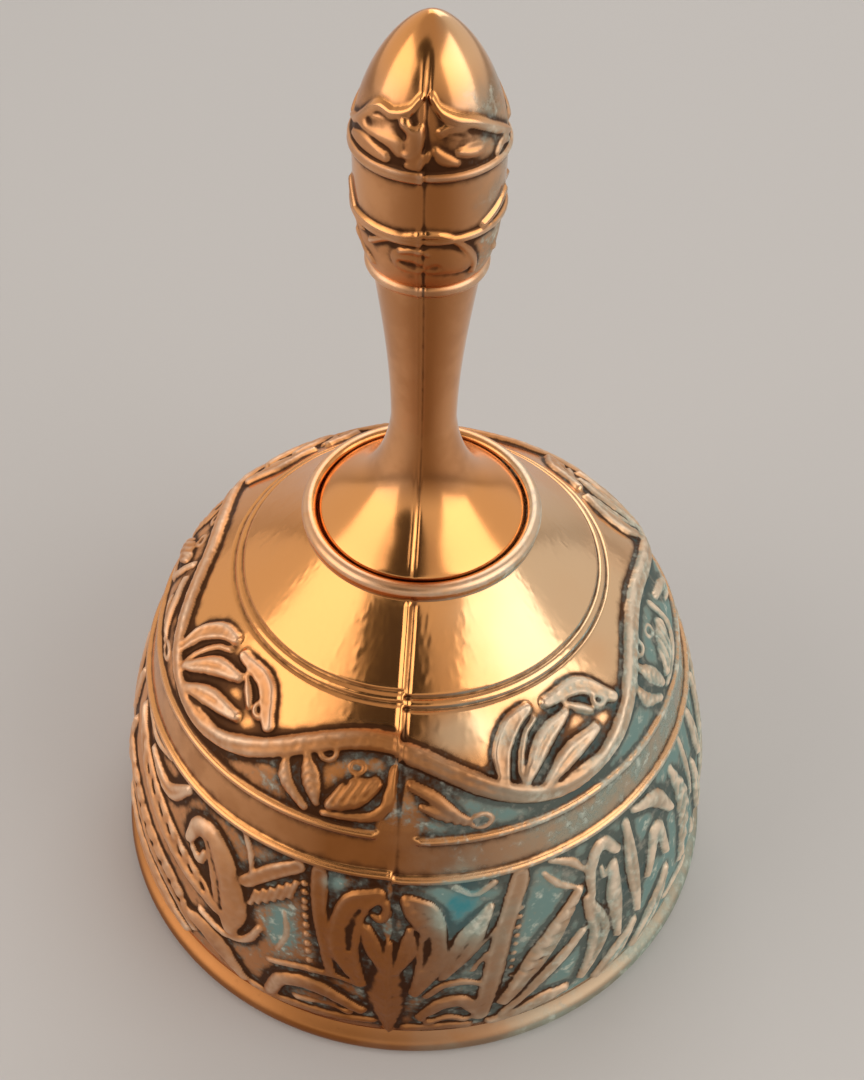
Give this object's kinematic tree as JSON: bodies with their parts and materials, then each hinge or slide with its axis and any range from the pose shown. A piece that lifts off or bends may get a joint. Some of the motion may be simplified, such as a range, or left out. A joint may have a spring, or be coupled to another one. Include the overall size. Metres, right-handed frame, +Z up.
{
  "type": "hand bell",
  "caption": "Hand bell with a round embossed body, a ringed crown, a waisted handle ending in an egg-shaped grip, and a ball clapper hung from an eye bolt by a link.",
  "frame": {"origin": "centre of the mouth, in the plane that the rim stands on", "axes": "+Z up along the bell's axis to the top of the handle, +X to the right as pictured, -Y towards the parting seam and the viewer"},
  "size_m": [0.085, 0.085, 0.1255],
  "materials": {
    "cast_brass": "cast brass, polished bright on the high places, dull and darkened in the recesses",
    "turned_brass": "turned brass, satin, with fine rings from the lathe",
    "iron_wire": "drawn and forged iron, dark, lightly oiled"
  },
  "bodies": {
    "bell": {"bell_body": "cast_brass", "handle": "cast_brass", "eye_bolt": "iron_wire", "crown_washer": "turned_brass", "crown_nut": "turned_brass"},
    "link": {"clapper_link": "iron_wire"},
    "clapper": {"clapper_rod": "iron_wire", "clapper_ball": "turned_brass"}
  },
  "joints": [
    {"name": "clapper_swing", "type": "hinge", "parent": "bell", "child": "link", "pos_m": [0, 0, 0.04455], "axis": [0, 1, 0], "range_deg": [-56, 56]},
    {"name": "clapper_side_swing", "type": "hinge", "parent": "link", "child": "clapper", "pos_m": [0, 0, 0.038], "axis": [1, 0, 0], "range_deg": [-20, 20]}
  ]
}
